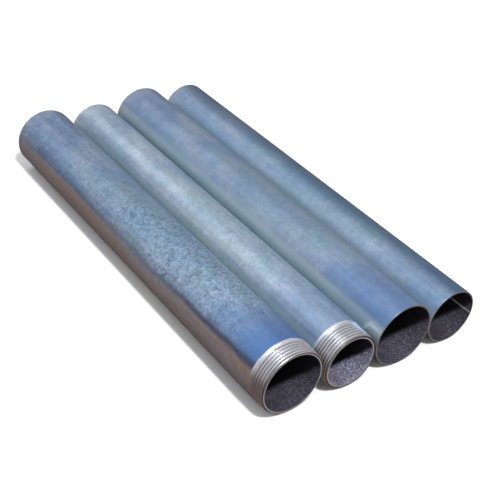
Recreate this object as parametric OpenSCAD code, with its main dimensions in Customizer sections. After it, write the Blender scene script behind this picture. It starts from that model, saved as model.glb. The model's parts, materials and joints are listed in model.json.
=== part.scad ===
// Four lengths of zinc-coated welded steel tube, lying side by side on a floor.
// The first two carry a taper thread on their front end, the other two are plain.
// +Y runs along the tubes from the front ends to the back ends, +X across them, +Z up.
// The origin is on the floor, under the middle of the row of tubes. Millimetres.

/* [Lengths] */
// Cut length of the large threaded tube
large_threaded_length = 345; // [150:0.1:600]
// Cut length of the small threaded tube
small_threaded_length = 346.4; // [150:0.1:600]
// Cut length of the large plain tube
large_plain_length = 345; // [150:0.1:600]
// Cut length of the small plain tube
small_plain_length = 342.4; // [150:0.1:600]

/* [Threaded tubes] */
// Outside diameter of the large threaded tube
large_threaded_od = 48.3; // [40:0.1:60.3]
// Wall of the large threaded tube
large_threaded_wall = 2.9; // [2.6:0.1:4]
// Outside diameter of the small threaded tube
small_threaded_od = 42.4; // [33.7:0.1:48.3]
// Wall of the small threaded tube
small_threaded_wall = 3.2; // [2.6:0.1:4]

/* [Plain tubes] */
// Outside diameter of the large plain tube
large_plain_od = 47.2; // [40:0.1:60.3]
// Outside diameter of the small plain tube
small_plain_od = 41.0; // [33.7:0.1:48.3]
// Wall of both plain tubes
plain_wall = 1.2; // [1:0.1:3]

/* [Thread] */
// Distance from one turn of the thread to the next
thread_pitch = 2.309; // [1.814:0.001:2.54]
// Depth of the thread, from crest to root
thread_depth = 1.48; // [0.8:0.01:1.5]
// Full grooves on the large threaded tube, before the fading one
large_turns = 5; // [3:1:8]
// Full grooves on the small threaded tube, before the fading one
small_turns = 6; // [3:1:8]
// Distance from the end face to the middle of the first groove
first_groove = 1.35; // [1.35:0.05:3]

/* [Ends] */
// Bevel that the deburring tool leaves on both edges of an end
edge_bevel = 0.3; // [0.1:0.05:0.5]
// Lead-in bevel on the outside of a threaded end
lead_bevel = 0.35; // [0.2:0.05:0.35]

/* [Hidden] */
$fn = 128;

zinc_blue = [0.50, 0.57, 0.69];

// The thread tapers by one sixteenth of its length on the diameter.
taper = 1 / 32;
// Flat on each crest and in each root, and the depth of the last, fading groove.
crest_flat = 0.38;
root_flat = 0.38;
fading_depth = 0.25;
// Pitches from the middle of the fading groove to the end of the thread.
run_out = 0.45;
// Drop from the tube's own surface to the crest beside the last groove.
shoulder_drop = 0.15;
shoulder_length = 0.5;
// Air left between neighbouring tubes.
tube_gap = 0.1;

// Outside radii in the order in which the tubes lie, from -X to +X.
radii = [large_threaded_od, small_threaded_od, large_plain_od, small_plain_od] / 2;

// Two tubes on one floor touch where the line between their centres slopes with their sizes.
function step_between(a, b) = sqrt(pow(a + b + tube_gap, 2) - pow(a - b, 2));
function centre_from_first(i) =
    i == 0 ? 0 : centre_from_first(i - 1) + step_between(radii[i - 1], radii[i]);

// Half of the row's width lies on each side of the origin.
row_middle = (centre_from_first(3) + radii[3] - radii[0]) / 2;

// Lengths in the same order, and how far each front end sits behind the foremost one.
lengths = [large_threaded_length, small_threaded_length, large_plain_length, small_plain_length];
setbacks = [1.1, 0, 0.5, 0.9];

// Half of the row's length lies on each side of the origin.
row_length = max([for (i = [0 : 3]) setbacks[i] + lengths[i]]);

// Length of a thread that has so many full grooves.
function thread_length(turns) = first_groove + (turns + run_out) * thread_pitch;

// Crest radius of that thread at a distance from the end face, on a tube of outside radius r.
function crest_radius(r, turns, along) =
    r - shoulder_drop - (thread_length(turns) - along) * taper;

// The four corners of one groove, whose middle is at a distance from the end face.
function groove(r, turns, middle, depth) =
    let (half_root = root_flat / 2,
         half_flank = (thread_pitch - crest_flat - root_flat) / 2 * depth / thread_depth,
         near_lip = middle - half_root - half_flank,
         far_lip = middle + half_root + half_flank,
         root = crest_radius(r, turns, middle) - depth)
    [[crest_radius(r, turns, near_lip), near_lip],
     [root, middle - half_root],
     [root, middle + half_root],
     [crest_radius(r, turns, far_lip), far_lip]];

// Outline of the outside of a threaded end, from the end face up to the plain surface.
function thread_outline(r, turns) = [
    [crest_radius(r, turns, 0) - lead_bevel, 0],
    [crest_radius(r, turns, lead_bevel), lead_bevel],
    for (turn = [0 : turns - 1])
        each groove(r, turns, first_groove + turn * thread_pitch, thread_depth),
    each groove(r, turns, first_groove + turns * thread_pitch, fading_depth),
    [crest_radius(r, turns, thread_length(turns)), thread_length(turns)],
    [r, thread_length(turns) + shoulder_length]
];

// Outline of the outside of a square-cut end, from the end face up to the plain surface.
function plain_outline(r) = [[r - edge_bevel, 0], [r, edge_bevel]];

// A tube standing on its front end, turned from half of its section.
module standing_tube(r, wall, length, front) {
    bore = r - wall;
    rotate_extrude()
        polygon(concat(
            [[bore + edge_bevel, 0]],
            front,
            [[r, length - edge_bevel],
             [r - edge_bevel, length],
             [bore + edge_bevel, length],
             [bore, length - edge_bevel],
             [bore, edge_bevel]]));
}

// Lays a standing tube down in its place in the row, its front end towards -Y.
module in_row(i)
    translate([centre_from_first(i) - row_middle,
               setbacks[i] - row_length / 2,
               radii[i]])
        rotate([-90, 0, 0])
            children();

module threaded_tube(i, wall, turns)
    color(zinc_blue)
        in_row(i)
            standing_tube(radii[i], wall, lengths[i], thread_outline(radii[i], turns));

module plain_tube(i, wall)
    color(zinc_blue)
        in_row(i)
            standing_tube(radii[i], wall, lengths[i], plain_outline(radii[i]));

module large_threaded_tube() threaded_tube(0, large_threaded_wall, large_turns);
module small_threaded_tube() threaded_tube(1, small_threaded_wall, small_turns);
module large_plain_tube() plain_tube(2, plain_wall);
module small_plain_tube() plain_tube(3, plain_wall);

large_threaded_tube();
small_threaded_tube();
large_plain_tube();
small_plain_tube();
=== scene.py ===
# %% [markdown]
# # Four zinc-coated steel tubes on a studio floor
# These are lengths of welded steel tube that lie side by side. Two of them have a taper thread
# cut on the front end, and two are thin-walled and plain. Blender adds what a drawing of the
# part leaves out: the helix of the threads, the weld bead inside each tube, the soft edges that
# a deburring tool leaves, and the look of the zinc itself.

# %% Load the drawn part as a fixed frame
import json
import math

import bmesh
import bpy
from mathutils import Matrix, Vector


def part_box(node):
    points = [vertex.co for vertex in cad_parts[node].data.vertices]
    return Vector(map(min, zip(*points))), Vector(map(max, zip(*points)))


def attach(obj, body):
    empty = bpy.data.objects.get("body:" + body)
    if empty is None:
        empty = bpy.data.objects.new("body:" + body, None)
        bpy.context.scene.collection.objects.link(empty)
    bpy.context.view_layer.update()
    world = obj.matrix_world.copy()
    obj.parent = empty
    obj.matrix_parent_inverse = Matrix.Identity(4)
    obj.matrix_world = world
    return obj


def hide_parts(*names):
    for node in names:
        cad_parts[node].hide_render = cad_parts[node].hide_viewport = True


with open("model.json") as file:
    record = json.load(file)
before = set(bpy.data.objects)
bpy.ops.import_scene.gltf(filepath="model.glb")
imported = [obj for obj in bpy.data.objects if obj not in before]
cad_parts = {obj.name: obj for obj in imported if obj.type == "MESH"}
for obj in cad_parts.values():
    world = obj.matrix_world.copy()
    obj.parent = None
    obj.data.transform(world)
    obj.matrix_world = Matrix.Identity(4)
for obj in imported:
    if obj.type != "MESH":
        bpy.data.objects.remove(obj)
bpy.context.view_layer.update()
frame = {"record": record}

# %% [markdown]
# A tube is fully described by a handful of numbers: where its axis lies, how far it reaches, and
# its two radii. They are read from the drawn part and from its record, not typed again, so the
# finished tubes can't drift away from the ones that the physics uses. A tube that lies on the
# floor has its axis one outside radius above it, so one number gives both.

# %% Measure each tube
MM = 0.001
KINDS = ("large_threaded", "small_threaded", "large_plain", "small_plain")
stated = {mount["name"]: mount for mount in frame["record"]["mounts"]}


def measure(kind):
    """Axis, ends and radii of one tube, in metres."""
    low, high = (Vector(corner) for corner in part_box(kind + "_tube"))
    bore = stated[kind + "_bore"]
    axis_height = bore["pos_m"][2]
    return {
        "kind": kind,
        "x": (low.x + high.x) / 2,
        "z": axis_height,
        "front": low.y,
        "length": high.y - low.y,
        "radius": axis_height,
        "bore": bore["dims"]["r_mm"] * MM,
    }


tubes = {kind: measure(kind) for kind in KINDS}
for kind, t in tubes.items():
    print(f"{kind}: radius {t['radius'] / MM:.2f} mm, bore {t['bore'] / MM:.2f} mm")

# %% [markdown]
# ## Helpers for round work
# Every tube is made lying along Y with its axis on the line x = 0, z = 0, as a turner would have
# it in the lathe, and is moved to its place in the row as the last step. These helpers find how
# far a vertex is from the axis, and pick out rings of edges by where they lie.

# %% Small bmesh helpers
AROUND = 240  # facets round a tube: fine enough that no flat shows at the mouth
SLACK = 0.002 * MM  # how far off a ring a vertex may be and still count as on it
HALF_TURN, FULL_TURN = math.pi, 2 * math.pi
facet = FULL_TURN * tubes["large_threaded"]["radius"] / AROUND
print(f"one facet of the largest tube is {facet / MM:.2f} mm wide")


def radius_of(vert):
    return math.hypot(vert.co.x, vert.co.z)


def set_radius(vert, radius):
    """Moves a vertex straight in or out from the axis."""
    share = radius / radius_of(vert)
    vert.co.x *= share
    vert.co.z *= share


def ring_edges(bm, y, radius):
    """The edges of the ring that lies in the plane y at that radius."""
    def on_ring(vert):
        return abs(vert.co.y - y) < SLACK and abs(radius_of(vert) - radius) < SLACK

    return [e for e in bm.edges if all(on_ring(v) for v in e.verts)]


def open_ring(bm, y):
    """The open boundary edges that lie in the plane y."""
    return [e for e in bm.edges if e.is_boundary and all(abs(v.co.y - y) < SLACK for v in e.verts)]


# %% [markdown]
# ## The mill's weld bead
# This sort of tube is a steel strip that is rolled up and welded along one line. The bead outside
# is planed off while it is hot, and the one inside is left, a few millimetres wide and about half
# a millimetre high. A separate strip would leave a seam, so the bead is pushed up from the bore's
# own wall: every vertex of the bore close to the weld line moves a little towards the axis.

# %% Raise the weld bead in a bore
BEAD_WIDTH, BEAD_HEIGHT = 3.0 * MM, 0.55 * MM
BORE_REACH = 0.4 * MM  # vertices no further than this outside the bore belong to its wall and lip


def raise_bead(bm, bore, weld_angle):
    """weld_angle is in degrees round the tube, from the +X side up over the top."""
    moved = 0
    for v in bm.verts:
        if radius_of(v) > bore + BORE_REACH:
            continue
        away = math.atan2(v.co.z, v.co.x) - math.radians(weld_angle)
        away = (away + HALF_TURN) % FULL_TURN - HALF_TURN
        share = abs(away) * bore / (BEAD_WIDTH / 2)
        if share < 1:
            set_radius(v, radius_of(v) - BEAD_HEIGHT * math.cos(share * HALF_TURN / 2) ** 2)
            moved += 1
    print(f"weld bead at {weld_angle} degrees: {moved} vertices raised")


# %% [markdown]
# ## Where each surface gets its own finish
# A tube shows up to four finishes: the zinc outside, the dull bore, the cut steel of its ends, and
# the bright steel of the thread. Faces could be picked by hand, but a rule is surer here: each face
# is given the number of its finish from where it lies and which way it faces.

# %% Sort the faces by finish
ZINC, BORE, CUT, THREAD = range(4)
END_DEPTH = 1.0 * MM  # a face further in than this is not part of an end
BORE_LIP = 0.35 * MM  # the rounded lip of the bore has the bore's finish this far out
SHARP_ANGLE = math.radians(38)


def sort_faces(bm, t, thread_end):
    mid_wall = (t["radius"] + t["bore"]) / 2
    for face in bm.faces:
        centre = face.calc_center_median()
        out = math.hypot(centre.x, centre.z)
        # The flank of a groove leans towards the end too, so a threaded end is tested harder.
        flat_enough = 0.8 if centre.y < thread_end else 0.5
        near_end = min(centre.y, t["length"] - centre.y) < END_DEPTH
        face.smooth = True
        if near_end and abs(face.normal.y) > flat_enough:
            face.material_index = CUT
        elif out < mid_wall and centre.y > 0 and out < t["bore"] + BORE_LIP:
            face.material_index = BORE
        elif centre.y < thread_end:
            face.material_index = THREAD
        else:
            face.material_index = ZINC


def finish_mesh(bm, t):
    """Lays the turned tube in its place in the row, and makes it an object."""
    name = t["kind"] + "_steel_tube"
    bmesh.ops.translate(bm, verts=bm.verts, vec=(t["x"], t["front"], t["z"]))
    mesh = bpy.data.meshes.new(name)
    bm.to_mesh(mesh)
    bm.free()
    mesh.set_sharp_from_angle(angle=SHARP_ANGLE)
    piece = bpy.data.objects.new(name, mesh)
    bpy.context.collection.objects.link(piece)
    triangles = sum(len(p.vertices) - 2 for p in mesh.polygons)
    print(f"{name}: {triangles} triangles")
    return piece


# %% [markdown]
# ## A plain tube
# The wall's section is a long thin rectangle. Spinning it once round the axis gives the whole
# tube, and a small bevel on the four edge rings is the deburred lip. A cylinder with a Solidify
# modifier would do too, but the spin keeps both radii exact and closes on itself.

# %% Turn a plain tube
LIP = 0.28 * MM  # how far the deburring tool has rounded each edge
LIP_SEGMENTS = 3


def spin_section(bm, corners):
    """Spins a closed section, given as (radius, along) corners, once round the Y axis."""
    verts = [bm.verts.new((radius, along, 0)) for radius, along in corners]
    edges = [bm.edges.new(pair) for pair in zip(verts, verts[1:] + verts[:1])]
    bmesh.ops.spin(
        bm, geom=verts + edges, cent=(0, 0, 0), axis=(0, 1, 0),
        angle=FULL_TURN, steps=AROUND, use_merge=True,
    )


def soften(bm, edges):
    bmesh.ops.bevel(
        bm, geom=edges, offset=LIP, offset_type="OFFSET", affect="EDGES",
        segments=LIP_SEGMENTS, profile=0.5, material=-1,
    )


def plain_tube(t, weld_angle):
    bm = bmesh.new()
    bore, radius, back = t["bore"], t["radius"], t["length"]
    spin_section(bm, [(bore, 0), (radius, 0), (radius, back), (bore, back)])
    rims = [e for y in (0, back) for r in (bore, radius) for e in ring_edges(bm, y, r)]
    soften(bm, rims)
    raise_bead(bm, bore, weld_angle)
    bmesh.ops.recalc_face_normals(bm, faces=bm.faces)
    sort_faces(bm, t, thread_end=-1)
    return finish_mesh(bm, t)


pieces = {
    "large_plain": plain_tube(tubes["large_plain"], weld_angle=205),
    "small_plain": plain_tube(tubes["small_plain"], weld_angle=-12),
}

# %% [markdown]
# ## A threaded tube
# A pipe thread is one groove that winds round the tube like a spring. Here it has eleven turns to
# the inch, leans in by one part in thirty-two of its length, and fades out where the cutting die
# was opened. The way to make it is the way a die does: take the outline of a single turn, and spin
# it while it moves along by one pitch for every turn. The strips meet edge to edge, so once the
# doubles are merged there is one unbroken thread.

# %% One turn of the thread, as an outline
PITCH = 25.4 / 11 * MM
DEPTH = 1.40 * MM
TAPER = 1 / 32
OUTLINE_POINTS = 12
MERGE_DISTANCE = 0.01 * MM
print(f"thread: pitch {PITCH / MM:.3f} mm, groove {DEPTH / MM:.2f} mm deep")


def depth_at(share):
    """Depth of the groove at a share of one pitch: 0 on the crest, 1 at the root."""
    straight = 1 - abs(2 * share - 1)
    rounded = 0.5 - 0.5 * math.cos(FULL_TURN * share)
    return 0.45 * straight + 0.55 * rounded


# %% Wind the thread's helix
def thread_helix(bm, t, thread_length, first_groove):
    """first_groove is where the groove's middle crosses the +X side of the tube."""
    start = first_groove - 2.5 * PITCH
    turns = math.ceil(thread_length / PITCH) + 4
    shares = [i / OUTLINE_POINTS for i in range(OUTLINE_POINTS + 1)]
    outline = [
        bm.verts.new((t["radius"] - DEPTH * depth_at(share), start + PITCH * share, 0))
        for share in shares
    ]
    edges = [bm.edges.new(pair) for pair in zip(outline, outline[1:])]
    bmesh.ops.spin(
        bm, geom=outline + edges, cent=(0, 0, 0), axis=(0, 1, 0), angle=FULL_TURN,
        steps=AROUND, dvec=(0, PITCH / AROUND, 0),
    )
    one_turn = bm.verts[:] + bm.edges[:] + bm.faces[:]
    for turn in range(1, turns):
        copy = bmesh.ops.duplicate(bm, geom=one_turn)["geom"]
        moved = [v for v in copy if isinstance(v, bmesh.types.BMVert)]
        bmesh.ops.translate(bm, verts=moved, vec=(0, turn * PITCH, 0))
    bmesh.ops.remove_doubles(bm, verts=bm.verts, dist=MERGE_DISTANCE)
    print(f"{t['kind']}: helix of {turns} turns, before it is trimmed")


# %% [markdown]
# The spun strip is still a plain cylinder with an even groove. Three things turn it into a real
# pipe thread, and all of them depend only on how far along the tube a vertex sits: the taper, the
# fading of the last turn, and the bevel that lets a coupling start. So one pass over the vertices
# sets each one's distance from the axis.

# %% Taper the thread, fade it out and bevel its start
SHOULDER_DROP = 0.15 * MM
SHOULDER_LENGTH = 0.5 * MM
LEAD_BEVEL = 0.35 * MM
FADE_FROM, FADE_TO = 1.2 * PITCH, 0.25 * PITCH  # both measured back from the thread's end


def soft_step(x, low, high):
    x = min(max((x - low) / (high - low), 0), 1)
    return x * x * (3 - 2 * x)


def shape_thread(bm, t, thread_length):
    shoulder_end = thread_length + SHOULDER_LENGTH
    face_edge = t["radius"] - SHOULDER_DROP - thread_length * TAPER - LEAD_BEVEL
    for v in bm.verts:
        along, cut = v.co.y, t["radius"] - radius_of(v)
        fade = 1 - soft_step(along, thread_length - FADE_FROM, thread_length - FADE_TO)
        lean = max(thread_length - along, 0) * TAPER
        lean += SHOULDER_DROP * (1 - soft_step(along, thread_length, shoulder_end))
        crest = t["radius"] - lean
        bevel = face_edge + max(along, 0)
        set_radius(v, min(crest - cut * fade, bevel))


# %% [markdown]
# The helix is longer than needed at both ends, so two planes trim it: one is the saw cut of the
# end face, the other lies just behind the shoulder. The open ring behind the shoulder is then
# drawn out, in one extrusion after another, to the back end, in through the wall and forward
# down the bore, and a last bridge closes the front face.

# %% Finish the threaded tube
THREAD_FINISH_PAST = 0.2 * MM  # the thread's bright steel runs this far past its end


def trim(bm, along, keep_above):
    bmesh.ops.bisect_plane(
        bm, geom=bm.verts[:] + bm.edges[:] + bm.faces[:], dist=1e-7,
        plane_co=(0, along, 0), plane_no=(0, 1, 0),
        clear_inner=keep_above, clear_outer=not keep_above,
    )


def draw_out(bm, edges, radius, along):
    """Extrudes an open ring and moves the new ring to a radius and a distance along."""
    made = bmesh.ops.extrude_edge_only(bm, edges=edges)["geom"]
    for v in made:
        if isinstance(v, bmesh.types.BMVert):
            set_radius(v, radius)
            v.co.y = along
    return [e for e in made if isinstance(e, bmesh.types.BMEdge) and e.is_boundary]


def threaded_tube(t, weld_angle, first_groove):
    bm = bmesh.new()
    back, radius, bore = t["length"], t["radius"], t["bore"]
    thread_length = stated[t["kind"] + "_outside_thread"]["dims"]["length_mm"] * MM
    body_start = thread_length + SHOULDER_LENGTH
    thread_helix(bm, t, thread_length, first_groove)
    shape_thread(bm, t, thread_length)
    trim(bm, 0, keep_above=True)
    trim(bm, body_start, keep_above=False)
    ring = open_ring(bm, body_start)
    for step in ((radius, back), (bore, back), (bore, 0)):
        ring = draw_out(bm, ring, *step)
    front = [e for e in open_ring(bm, 0) if e not in set(ring)]
    bmesh.ops.bridge_loops(bm, edges=ring + front)
    rims = ring_edges(bm, back, radius) + ring_edges(bm, back, bore) + ring_edges(bm, 0, bore)
    soften(bm, rims)
    raise_bead(bm, bore, weld_angle)
    bmesh.ops.recalc_face_normals(bm, faces=bm.faces)
    gaps = sum(not e.is_manifold for e in bm.edges)
    print(f"{t['kind']}: thread {thread_length / MM:.1f} mm long, {gaps} open edges")
    sort_faces(bm, t, thread_end=thread_length + THREAD_FINISH_PAST)
    return finish_mesh(bm, t)


pieces["large_threaded"] = threaded_tube(
    tubes["large_threaded"], weld_angle=250, first_groove=2.0 * MM
)
pieces["small_threaded"] = threaded_tube(
    tubes["small_threaded"], weld_angle=60, first_groove=1.3 * MM
)

# %% [markdown]
# ## A short hand for material nodes
# Materials are graphs of nodes. These few functions add a node, set its sockets and link it, so
# that each finish below reads as a recipe.

# %% Node helpers
def with_alpha(value):
    """A colour of three numbers gets the fourth that a colour socket needs."""
    is_colour = isinstance(value, tuple) and len(value) == 3
    return (*value, 1) if is_colour else value


class Finish:
    """One material's node graph, being built."""

    def __init__(self, name):
        self.material = bpy.data.materials.new(name)
        self.material.use_nodes = True
        self.nodes = self.material.node_tree.nodes
        self.links = self.material.node_tree.links
        self.shader = self.nodes["Principled BSDF"]

    def put(self, socket, value):
        """Links a socket to another node's output, or sets it to a plain value."""
        if isinstance(value, bpy.types.NodeSocket):
            self.links.new(value, socket)
        else:
            socket.default_value = value

    def add(self, kind, sockets=None, **settings):
        node = self.nodes.new(kind)
        for key, value in settings.items():
            setattr(node, key, value)
        for key, value in (sockets or {}).items():
            self.put(node.inputs[key], value)
        return node

    def set(self, **sockets):
        """Sets or links the shader's own sockets."""
        for key, value in sockets.items():
            self.put(self.shader.inputs[key.replace("_", " ")], with_alpha(value))

    def maths(self, operation, *values):
        node = self.add("ShaderNodeMath", operation=operation)
        for socket, value in zip(node.inputs, values):
            self.put(socket, value)
        return node.outputs[0]

    def swing(self, pattern, strength, middle):
        """Lets a pattern of 0 to 1 push a value up and down around its middle."""
        return self.maths("MULTIPLY_ADD", self.maths("SUBTRACT", pattern, 0.5), strength, middle)

    def place(self, t):
        """Object coordinates, in metres, centred on the tube's axis at its front end."""
        where = self.add("ShaderNodeTexCoord").outputs["Object"]
        centre = (-t["x"], -t["front"], -t["z"])
        return self.add("ShaderNodeMapping", {"Vector": where, "Location": centre}).outputs[0]

    def split(self, vector):
        return self.add("ShaderNodeSeparateXYZ", {0: vector}).outputs

    def distance_from_axis(self, x, z):
        squares = self.maths("ADD", self.maths("MULTIPLY", x, x), self.maths("MULTIPLY", z, z))
        return self.maths("SQRT", squares)

    def shift(self, vector, distance):
        """The same coordinates, slid far enough that a second noise is unlike the first."""
        slide = {"Vector": vector, "Location": (distance,) * 3}
        return self.add("ShaderNodeMapping", slide).outputs[0]

    def stretch(self, vector, scale):
        return self.add("ShaderNodeMapping", {"Vector": vector, "Scale": scale}).outputs[0]

    def noise(self, vector, scale, detail=3.0, roughness=0.5):
        sockets = {"Vector": vector, "Scale": scale, "Detail": detail, "Roughness": roughness}
        return self.add("ShaderNodeTexNoise", sockets).outputs["Fac"]

    def spread(self, value, low, high, to_low=0.0, to_high=1.0, smooth=True):
        """Maps low..high to to_low..to_high, and holds it there outside."""
        sockets = {"Value": value, "From Min": low, "From Max": high}
        sockets.update({"To Min": to_low, "To Max": to_high})
        kind = "SMOOTHSTEP" if smooth else "LINEAR"
        return self.add("ShaderNodeMapRange", sockets, interpolation_type=kind).outputs["Result"]

    def mix(self, share, a, b, blend="MIX"):
        node = self.add("ShaderNodeMix", data_type="RGBA", blend_type=blend)
        for name, value in (("Factor_Float", share), ("A_Color", a), ("B_Color", b)):
            socket = next(s for s in node.inputs if s.identifier == name)
            self.put(socket, with_alpha(value))
        return next(s for s in node.outputs if s.identifier == "Result_Color")

    def scale_colour(self, colour, amount):
        """Makes a colour lighter or darker by a number that may change over the surface."""
        node = self.add("ShaderNodeVectorMath", {0: colour}, operation="SCALE")
        self.put(node.inputs["Scale"], amount)
        return node.outputs[0]

    def bump(self, height, distance, strength=1.0, under=None):
        sockets = {"Height": height, "Distance": distance, "Strength": strength}
        if under is not None:
            sockets["Normal"] = under
        return self.add("ShaderNodeBump", sockets).outputs[0]


# %% [markdown]
# ## Zinc: clouds and bloom
# Thin zinc on steel tube is a soft blue-grey metal, and it is not one colour. Cloudy patches lean
# to blue, to grey and to a greenish grey, with a faint violet or teal bloom here and there. The
# patches are longer along the tube than round it, so the noises are stretched along Y. Each patch
# colour is its own noise, mixed over the one before, which is simpler to tune than one colour ramp.

# %% The zinc's cloudy colour
VIOLET_BLOOM, TEAL_BLOOM = (0.25, 0.26, 0.46), (0.14, 0.33, 0.42)
BLOOM_SHARE = 0.28


def zinc_clouds(f, here, blue, grey, green):
    """The cloudy colour, and the two noises in it that the painted ground reflection follows too.
    """
    clouds = f.noise(f.stretch(here, (1, 0.45, 1)), 40, detail=3, roughness=0.6)
    drift = f.noise(f.stretch(here, (1, 0.3, 1)), 27, detail=2)
    colour = f.mix(f.spread(clouds, 0.38, 0.62), blue, grey)
    colour = f.mix(f.spread(drift, 0.50, 0.68, 0, 0.5), colour, green)
    for distance, tint in ((0.31, VIOLET_BLOOM), (0.67, TEAL_BLOOM)):
        bloom = f.noise(f.stretch(f.shift(here, distance), (1, 0.5, 1)), 62, detail=2)
        colour = f.mix(f.spread(bloom, 0.52, 0.72, 0, BLOOM_SHARE), colour, tint)
    return colour, clouds, drift


# %% [markdown]
# ## Zinc: crystals, frost and streaks
# Zinc sets in fine crystals that catch the light as a frosty speckle, more in some patches than in
# others, and drawing the tube through rollers leaves faint streaks along it. A Voronoi texture
# gives crystals with one tone each, and noises at 3 to 10 mm give the coarser mottle. Together
# they make the colour a little lighter or darker from spot to spot.

# %% The zinc's small patterns
def zinc_patterns(f, here, frost_share):
    crystals = f.add("ShaderNodeTexVoronoi", {"Vector": here, "Scale": 560, "Randomness": 1.0})
    crystal_tone = f.add("ShaderNodeSeparateColor", {0: crystals.outputs["Color"]}).outputs[0]
    frost_patches = f.noise(f.stretch(here, (1, 0.4, 1)), 26, detail=2)
    return {
        "crystal_tone": crystal_tone,
        "crystal_distance": crystals.outputs["Distance"],
        "grain": f.noise(here, 1100, detail=2),
        "mottle": f.noise(here, 300, detail=3, roughness=0.6),
        "coarse_mottle": f.noise(here, 110, detail=3, roughness=0.6),
        "streaks": f.noise(f.stretch(here, (1, 0.015, 1)), 300, detail=3),
        "frost": f.spread(frost_patches, 0.46, 0.62, 0, frost_share),
    }


def zinc_lightness(f, patterns, contrast):
    """How light the zinc is at each spot: about 1, more on a bright crystal."""
    crystal_strength = f.maths("MULTIPLY_ADD", patterns["frost"], 0.45 * contrast, 0.12 * contrast)
    light = f.swing(patterns["crystal_tone"], crystal_strength, 1.0)
    strengths = {
        "grain": 0.85 * contrast,
        "mottle": 0.80 * contrast,
        "streaks": 0.12 + 0.38 * contrast,
        "coarse_mottle": 0.42,
    }
    for name, strength in strengths.items():
        light = f.swing(patterns[name], strength, light)
    return f.maths("MULTIPLY_ADD", patterns["frost"], 0.08, light)


def zinc_relief(f, here, patterns, contrast):
    """Three layers of bump: a slow ripple, the crystals, and the finest grain."""
    ripple_height = f.noise(f.stretch(here, (1, 0.5, 1)), 240, detail=2)
    ripple = f.bump(ripple_height, 0.10 * MM, 0.7 * contrast)
    crystal_strength = f.maths("MULTIPLY_ADD", patterns["frost"], 0.6 * contrast, 0.15 * contrast)
    crystals = f.bump(patterns["crystal_distance"], 0.12 * MM, crystal_strength, under=ripple)
    return f.bump(patterns["grain"], 0.05 * MM, 0.9 * contrast, under=crystals)


# %% [markdown]
# ## Zinc: tones by place, with painted light and shade
# The zinc is a deeper blue near the front end. At the sides where two tubes touch it is painted
# lighter and grey-green, a painted reflection of the neighbouring tube. One tube has a band of
# painted shade above that strip, and one has painted shade over its right side. It is all painted
# as colour, by where a spot lies across and along the tube, so that it stays with the tube in any
# light.

# %% The zinc's tones by place
FRONT_BLUE = (0.085, 0.185, 0.42)
FRONT_BLUE_FULL = 14 * MM  # the front blue is at its full share up to here
# Lighter grey-green painted where tubes touch: a painted reflection of the neighbouring tube.
CONTACT_REFLECTION = (0.42, 0.52, 0.54)
# Multiplied over one tube's right side as painted shade.
RIGHT_SHADE_TINT = (0.27, 0.39, 0.47)


def zinc_tones(f, colour, across, along, front_blue, front_reach, contact_reflection, left_shade, right_shade):
    """across is -1 on the tube's -X side and 1 on its +X side."""
    near_front = f.spread(along, FRONT_BLUE_FULL, front_reach, front_blue, 0)
    colour = f.mix(near_front, colour, FRONT_BLUE)
    # Painted shade over the tube's +X side.
    right_shade_share = f.spread(across, -0.45, 0.30, 0, right_shade)
    colour = f.mix(right_shade_share, colour, RIGHT_SHADE_TINT, blend="MULTIPLY")
    # A band of painted shade on the -X side, just above the strip where the tubes touch.
    left_band = f.maths("MULTIPLY", f.spread(across, -0.45, -0.66), f.spread(across, -0.92, -0.74))
    colour = f.scale_colour(colour, f.maths("MULTIPLY_ADD", left_band, -left_shade, 1))
    # Painted reflection of the neighbouring tube, lighter where two tubes touch.
    for side, share in zip((-1, 1), contact_reflection):
        contact = f.spread(across, side * 0.74, side * 0.90, 0, share)
        colour = f.mix(contact, colour, CONTACT_REFLECTION)
    return colour


# %% [markdown]
# ## Zinc: the painted reflection of the ground
# Low on its outer flank the large threaded tube is painted brown under a dark blue line: a painted
# reflection of the brown ground and its horizon, laid on as colour. Its edge wanders with the
# clouds, sinks towards the back and hardly shows on the +X side, and the brown is warmer in places
# and painted darker towards the floor, as shade. The other tubes have it only below their middle.

# %% The zinc's painted reflection of the ground
# The brown of the ground and the dark blue of the horizon, as painted reflections in the zinc.
GROUND_REFLECTION, WARM_GROUND_REFLECTION = (0.185, 0.160, 0.160), (0.200, 0.145, 0.115)
HORIZON_REFLECTION = (0.07, 0.085, 0.15)


def zinc_ground_reflection(f, colour, across, along, height, clouds, drift, mottle, ground_reflection_height):
    """height is -1 at the tube's lowest line and 1 on top. Gives the colour and the painted
    reflection's share.
    """
    level = f.swing(clouds, 0.5, height)
    level = f.maths("MULTIPLY_ADD", along, 0.5, level)
    level = f.maths("MULTIPLY_ADD", f.maths("MAXIMUM", across, 0), 0.6, level)
    # The dark blue line is a painted reflection of the horizon.
    below_line = f.spread(level, ground_reflection_height + 0.20, ground_reflection_height + 0.06)
    line = f.maths("MULTIPLY", below_line, f.spread(along, 60 * MM, 160 * MM, 0.85, 0.1))
    colour = f.mix(line, colour, HORIZON_REFLECTION)
    # The brown band is a painted reflection of the ground, painted darker towards the floor as
    # shade.
    ground_reflection_share = f.spread(level, ground_reflection_height + 0.06, ground_reflection_height - 0.10, 0, 0.88)
    ground_colour = f.mix(f.spread(drift, 0.42, 0.62), WARM_GROUND_REFLECTION, GROUND_REFLECTION)
    shade_towards_floor = f.spread(height, -0.75, 0.35, 0.12, 0.75)
    ground_colour = f.scale_colour(ground_colour, f.maths("MULTIPLY_ADD", mottle, 0.7, shade_towards_floor))
    return f.mix(ground_reflection_share, colour, ground_colour), ground_reflection_share
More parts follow.
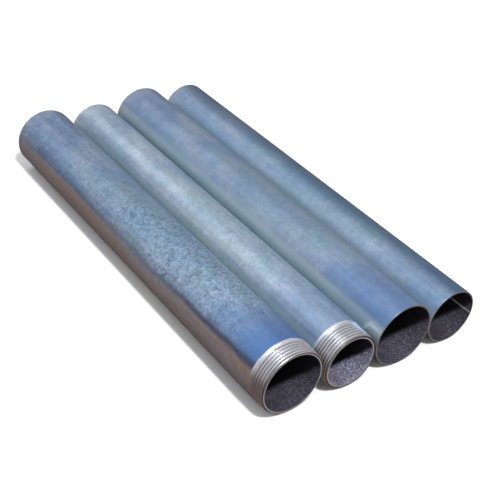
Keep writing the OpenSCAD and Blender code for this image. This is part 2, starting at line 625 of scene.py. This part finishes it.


# %% [markdown]
# The layers are now laid over one another: cloudy colour, the light and dark of the crystals, the
# tones, painted light and painted shade by place, and the painted reflection of the ground on top.
# Frost scatters light and is rougher, and the painted ground reflection is made less metallic than
# zinc, so both are wired to the shader as well.

# %% The whole zinc finish
def zinc_finish(t, blue, grey, green, contrast, frost_share, front_blue, front_reach,
                ground_reflection_height, contact_reflection, left_shade=0.0, right_shade=0.0):
    f = Finish(t["kind"] + "_zinc")
    here = f.place(t)
    x, along, z = f.split(here)
    across = f.maths("DIVIDE", x, t["radius"])
    height = f.maths("DIVIDE", z, t["radius"])
    colour, clouds, drift = zinc_clouds(f, here, blue, grey, green)
    patterns = zinc_patterns(f, here, frost_share)
    colour = f.scale_colour(colour, zinc_lightness(f, patterns, contrast))
    colour = zinc_tones(f, colour, across, along, front_blue, front_reach, contact_reflection, left_shade, right_shade)
    colour, ground_reflection_share = zinc_ground_reflection(
        f, colour, across, along, height, clouds, drift, patterns["mottle"], ground_reflection_height
    )
    rough = f.maths("MULTIPLY_ADD", patterns["frost"], 0.12, 0.36)
    rough = f.swing(patterns["streaks"], 0.2, rough)
    f.set(Base_Color=colour, Roughness=rough, Normal=zinc_relief(f, here, patterns, contrast))
    f.set(Metallic=f.maths("MULTIPLY_ADD", ground_reflection_share, -0.45, 0.82))
    return f.material


# %% [markdown]
# ## The bore
# The inside of such a tube is dark mill scale and dried oil, rough and speckled. Near each mouth a
# paler speckled grey reaches further in along the bottom, and the wall beyond it is black: this is
# painted light where the front lamp shines in, and painted shadow past the slanted edge of that
# light. It is hardly metallic, so it stays dark. In three of the tubes the top of the weld bead
# carries a painted highlight. The painted light follows the distance from the nearer mouth, so both
# ends of a tube look alike.

# %% The bore's finish
# Black painted shadow for the wall past the edge of the painted light.
BORE_PAINTED_SHADOW = (0.007, 0.0055, 0.010)
# Pale colour painted on top of the weld bead: a painted highlight.
BEAD_PAINTED_HIGHLIGHT = (0.6, 0.6, 0.62)
PALE_LIT_DUST_TINT, DEEP_LIT_DUST_TINT = (0.94, 0.90, 1.22), (0.92, 0.88, 1.30)
# The slant of the painted light's edge, as the front lamp's light would lie in the bore.
PAINTED_LIGHT_SLOPE = 0.8  # how much further in the dust reaches at the bottom than half way up


def bore_finish(t, dust_and_light, bead_shine):
    """The first number sets how pale the painted light near the mouths is, and bead_shine how
    bright the painted highlight on the weld bead is, both 0 to 1.
    """
    f = Finish(t["kind"] + "_bore_scale")
    here = f.place(t)
    x, along, z = f.split(here)
    speckle = f.noise(here, 850, detail=4, roughness=0.75)
    patches = f.noise(f.stretch(here, (1, 0.5, 1)), 110, detail=3)
    # The paler speckled grey near each mouth is painted light.
    pale = tuple(2.2 * dust_and_light * tint for tint in PALE_LIT_DUST_TINT)
    deep = tuple(0.5 * dust_and_light * tint for tint in DEEP_LIT_DUST_TINT)
    colour = f.mix(f.spread(speckle, 0.42, 0.64), deep, pale)
    colour = f.mix(f.spread(patches, 0.48, 0.70, 0, 0.5), colour, deep)

    # Painted shadow: past a slanted edge, measured from the nearer mouth, the wall is painted
    # black.
    from_back = f.maths("SUBTRACT", t["length"], along)
    into_painted_shadow = f.maths("DIVIDE", f.maths("MINIMUM", along, from_back), t["bore"])
    into_painted_shadow = f.maths("MULTIPLY_ADD", f.maths("DIVIDE", z, t["bore"]), PAINTED_LIGHT_SLOPE, into_painted_shadow)
    into_painted_shadow = f.swing(patches, 0.12, into_painted_shadow)
    colour = f.mix(f.spread(into_painted_shadow, 0.12, 0.32), colour, BORE_PAINTED_SHADOW)

    out = f.distance_from_axis(x, z)
    # A painted highlight along the top of the weld bead, broken by the speckle.
    bead = f.spread(out, t["bore"] - 0.15 * MM, t["bore"] - 0.45 * MM, 0, bead_shine)
    bead = f.maths("MULTIPLY", bead, f.spread(speckle, 0.35, 0.55))
    colour = f.mix(bead, colour, BEAD_PAINTED_HIGHLIGHT)
    f.set(Base_Color=colour, Roughness=f.spread(patches, 0.3, 0.7, 0.5, 0.75),
          Normal=f.bump(speckle, 0.2 * MM, 0.7))
    f.set(Metallic=0.1, Specular_IOR_Level=0.3)
    return f.material


# %% [markdown]
# ## Cut steel
# A saw or a parting tool leaves the end face bare and lightly scored in circles. It is brightest in
# a narrow ring beside the bore and dark over the rest of the face, with brown specks of first rust.
# The scoring is a noise that changes with the distance from the axis and not round it, so it comes
# out as rings.

# %% The finish of the cut ends
SCORED_DARK, SCORED_LIGHT = 0.30, 0.55
DARK_CUT_STEEL, RUST_SPECK = (0.055, 0.050, 0.050), (0.16, 0.10, 0.07)


def cut_finish(t, shine):
    """shine scales how bright the ring beside the bore is."""
    f = Finish(t["kind"] + "_cut_steel")
    here = f.place(t)
    x, along, z = f.split(here)
    out = f.distance_from_axis(x, z)
    rings = f.noise(f.add("ShaderNodeCombineXYZ", {0: out, 1: along}).outputs[0], 3500, detail=2)
    specks = f.noise(here, 700, detail=3)
    dark, light = ((shine * SCORED_DARK,) * 3, (shine * SCORED_LIGHT,) * 3)
    colour = f.mix(f.spread(rings, 0.35, 0.65), dark, light)
    into_wall = f.maths("SUBTRACT", out, t["bore"])
    ring_starts = f.spread(into_wall, 0.20 * MM, 0.42 * MM)
    ring_ends = f.spread(into_wall, 1.20 * MM, 0.90 * MM)
    colour = f.mix(f.maths("MULTIPLY", ring_starts, ring_ends), DARK_CUT_STEEL, colour)
    colour = f.mix(f.spread(specks, 0.60, 0.72, 0, 0.7), colour, RUST_SPECK)
    f.set(Base_Color=colour, Roughness=f.spread(specks, 0.4, 0.7, 0.34, 0.6),
          Normal=f.bump(rings, 0.03 * MM, 0.5))
    f.set(Metallic=0.6)
    return f.material


# %% [markdown]
# ## The thread's steel
# The die has cut through the zinc, so the crests are bright bare steel with fine lines along the
# groove. The roots are painted darker, as shade in the grooves, and oily dirt lies in patches. Low
# on the thread the brown ground is painted in as a reflection. A spot's distance from the axis,
# less the taper, tells crest from root, so the colour can't slip off the helix.

# %% The thread's finish
# The roots are painted darker than the crests, as shade in the grooves.
ROOT_STEEL_SHADED, CREST_STEEL = (0.27, 0.27, 0.285), (0.70, 0.715, 0.76)
OILY_DIRT = (0.30, 0.26, 0.23)
CREST_BELOW = 0.65 * MM  # about how far under the zinc's surface the crests lie at the end face


def thread_finish(t):
    f = Finish(t["kind"] + "_thread_steel")
    here = f.place(t)
    x, along, z = f.split(here)
    less_taper = f.maths("MULTIPLY", along, -TAPER)
    level = f.maths("ADD", f.distance_from_axis(x, z), less_taper)
    root = t["radius"] - DEPTH - CREST_BELOW
    crest = f.spread(level, root, root + DEPTH, smooth=False)
    lines = f.noise(f.stretch(here, (0.02, 1, 0.02)), 5200, detail=2)
    dirt = f.noise(here, 420, detail=3)
    # From root to crest: painted shade in the roots, bright steel on the crests.
    colour = f.mix(crest, ROOT_STEEL_SHADED, CREST_STEEL)
    colour = f.mix(f.spread(dirt, 0.55, 0.75, 0, 0.5), colour, OILY_DIRT)
    # The lower part of the thread gets the painted reflection of the brown ground.
    low = f.spread(f.maths("DIVIDE", z, t["radius"]), 0.50, 0.20, 0, 0.65)
    colour = f.mix(low, colour, f.scale_colour(GROUND_REFLECTION, 1.3))
    f.set(Base_Color=colour, Roughness=f.spread(lines, 0.3, 0.7, 0.30, 0.46),
          Normal=f.bump(lines, 0.02 * MM, 0.4))
    f.set(Metallic=0.95)
    return f.material


# %% [markdown]
# ## Each tube gets its own shade of zinc
# The tubes' zinc differs a little: the small threaded one is the palest and most silvery, the
# small plain one leans to green, and the large threaded one has the boldest crystals. One recipe
# with a few numbers for each tube keeps them a family.

# %% The tubes' shades
ZINC_SHADES = {
    "large_threaded": dict(
        blue=(0.165, 0.26, 0.42), grey=(0.25, 0.325, 0.44), green=(0.19, 0.30, 0.36),
        contrast=1.0, frost_share=1.0, front_blue=0.9, front_reach=58 * MM,
        ground_reflection_height=0.44, contact_reflection=(0, 0.5),
    ),
    "small_threaded": dict(
        blue=(0.30, 0.41, 0.55), grey=(0.44, 0.52, 0.62), green=(0.37, 0.48, 0.52),
        contrast=0.55, frost_share=0.5, front_blue=0.35, front_reach=150 * MM,
        ground_reflection_height=-0.1, contact_reflection=(0.8, 0.5), left_shade=0.25,
    ),
    "large_plain": dict(
        blue=(0.17, 0.26, 0.42), grey=(0.26, 0.335, 0.45), green=(0.215, 0.31, 0.37),
        contrast=0.4, frost_share=0.4, front_blue=0.45, front_reach=70 * MM,
        ground_reflection_height=-0.1, contact_reflection=(0.8, 0.4), left_shade=0.06,
    ),
    "small_plain": dict(
        blue=(0.19, 0.29, 0.44), grey=(0.27, 0.35, 0.46), green=(0.19, 0.31, 0.38),
        contrast=0.4, frost_share=0.3, front_blue=0.1, front_reach=50 * MM,
        ground_reflection_height=-0.1, contact_reflection=(0.7, 0), right_shade=0.9,
    ),
}
# Per bore: how pale its painted light is, and how bright the painted highlight on its weld bead.
BORES = {
    "large_threaded": dict(dust_and_light=0.043, bead_shine=0),
    "small_threaded": dict(dust_and_light=0.16, bead_shine=0.2),
    "large_plain": dict(dust_and_light=0.055, bead_shine=0.3),
    "small_plain": dict(dust_and_light=0.038, bead_shine=0.42),
}
THICK_RIM_SHINE, THIN_RIM_SHINE = 1.0, 0.55
print("zinc shades:", ", ".join(ZINC_SHADES))

# %% [markdown]
# The order in which materials are added to a mesh gives them their numbers, so it is the order of
# the finish numbers above: zinc, bore, cut, thread. Each finished tube then rides on the one body
# that the drawn tubes are in, and stands in for the drawn tube of its kind.

# %% Put the finishes on
for kind in KINDS:
    t, piece = tubes[kind], pieces[kind]
    threaded = kind.endswith("threaded")
    rim_shine = THICK_RIM_SHINE if threaded else THIN_RIM_SHINE
    piece.data.materials.append(zinc_finish(t, **ZINC_SHADES[kind]))
    piece.data.materials.append(bore_finish(t, **BORES[kind]))
    piece.data.materials.append(cut_finish(t, rim_shine))
    if threaded:
        piece.data.materials.append(thread_finish(t))
    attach(piece, "root")
    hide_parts(kind + "_tube")
    print(f"{piece.name}: {len(piece.data.materials)} finishes")

# %% [markdown]
# ## Floor
# A plain pale floor, large enough that its edge is never seen. One flat face is all it needs.

# %% Lay the floor
FLOOR_SIZE = 30


def flat_sheet(name, height, colour):
    bm = bmesh.new()
    bmesh.ops.create_grid(bm, x_segments=1, y_segments=1, size=FLOOR_SIZE / 2)
    bmesh.ops.translate(bm, verts=bm.verts, vec=(0, 0, height))
    mesh = bpy.data.meshes.new(name)
    bm.to_mesh(mesh)
    bm.free()
    sheet = bpy.data.objects.new(name, mesh)
    bpy.context.collection.objects.link(sheet)
    f = Finish(name)
    f.set(Base_Color=colour, Roughness=0.9)
    mesh.materials.append(f.material)
    print(f"{name}: {FLOOR_SIZE} m square, {height} m up")
    return sheet


flat_sheet("floor", 0, (0.92, 0.92, 0.92))

# %% [markdown]
# Someone who lights shiny metal puts dark card round it, out of the lens's sight, so that its
# lower flanks have something deeper than the pale floor to reflect. This earth-coloured card lies
# a hair above the whole floor, and only reflections see it.

# %% Lay the reflection card
card = flat_sheet("earth_card", 0.0002, (0.165, 0.115, 0.10))
card.visible_camera = False
card.visible_diffuse = False
card.visible_shadow = False
card.visible_transmission = False

# %% [markdown]
# ## Sky
# A pale sky all round is the main light. It is a touch brighter overhead than at the horizon, as
# a studio's ceiling is, which gives round metal a soft change of tone from top to side.

# %% Hang the sky
world = bpy.data.worlds.new("pale_sky")
world.use_nodes = True
bpy.context.scene.world = world
sky_nodes, sky_links = world.node_tree.nodes, world.node_tree.links
sky_where = sky_nodes.new("ShaderNodeTexCoord")
sky_split = sky_nodes.new("ShaderNodeSeparateXYZ")
sky_ramp = sky_nodes.new("ShaderNodeValToRGB")
sky_links.new(sky_where.outputs["Generated"], sky_split.inputs[0])
sky_links.new(sky_split.outputs["Z"], sky_ramp.inputs[0])
sky_links.new(sky_ramp.outputs[0], sky_nodes["Background"].inputs["Color"])
horizon, overhead = sky_ramp.color_ramp.elements
horizon.position, horizon.color = 0.0, (0.58, 0.58, 0.58, 1)
overhead.position, overhead.color = 0.8, (0.70, 0.71, 0.73, 1)
sky_nodes["Background"].inputs["Strength"].default_value = 1.0

# %% [markdown]
# ## Lamps
# A very large, weak lamp behind and above on the left gives the upper flanks their gentle sheen.
# A smaller, stronger one in front and above shines into the bores and puts a glint on the front
# of each thread crest.

# %% Light the set
def soft_lamp(name, place, size, watts):
    """A round lamp that is aimed at the middle of the row."""
    lamp = bpy.data.lights.new(name, "AREA")
    lamp.shape, lamp.size, lamp.energy = "DISK", size, watts
    holder = bpy.data.objects.new(name, lamp)
    bpy.context.collection.objects.link(holder)
    holder.location = place
    aim = -Vector(place)
    holder.rotation_euler = aim.to_track_quat("-Z", "Y").to_euler()
    print(f"{name}: {aim.length:.2f} m away, {size} m across, {watts} W")


soft_lamp("sheen_lamp", (-0.65, 1.29, 1.38), size=2.4, watts=6)
soft_lamp("front_lamp", (-0.26, -1.06, 1.91), size=0.25, watts=42)

# %% [markdown]
# ## Camera
# A long lens about three quarters of a metre from the middle of the row, which looks down at the
# tubes from their threaded ends and is held slightly askew. The three turns are built up one after
# another, because each is then a number that a person can change by itself.

# %% Place the camera
CAMERA_AZIMUTH, CAMERA_ELEVATION, CAMERA_ROLL = 37.21, 35.82, 4.25
CAMERA_PLACE = Vector((-0.36625, -0.5151, 0.4507))
lens = bpy.data.cameras.new("camera")
lens.lens, lens.sensor_width = 72.9, 36
lens.clip_start = 0.01
camera = bpy.data.objects.new("camera", lens)
bpy.context.collection.objects.link(camera)
turn = Matrix.Rotation(math.radians(-CAMERA_AZIMUTH), 4, "Z")
tip = Matrix.Rotation(math.radians(90 - CAMERA_ELEVATION), 4, "X")
roll = Matrix.Rotation(math.radians(CAMERA_ROLL), 4, "Z")
camera.matrix_world = Matrix.Translation(CAMERA_PLACE) @ turn @ tip @ roll
bpy.context.scene.camera = camera
bpy.context.scene.view_settings.view_transform = "Standard"
print(f"camera: {CAMERA_PLACE.length:.2f} m from the middle of the row")
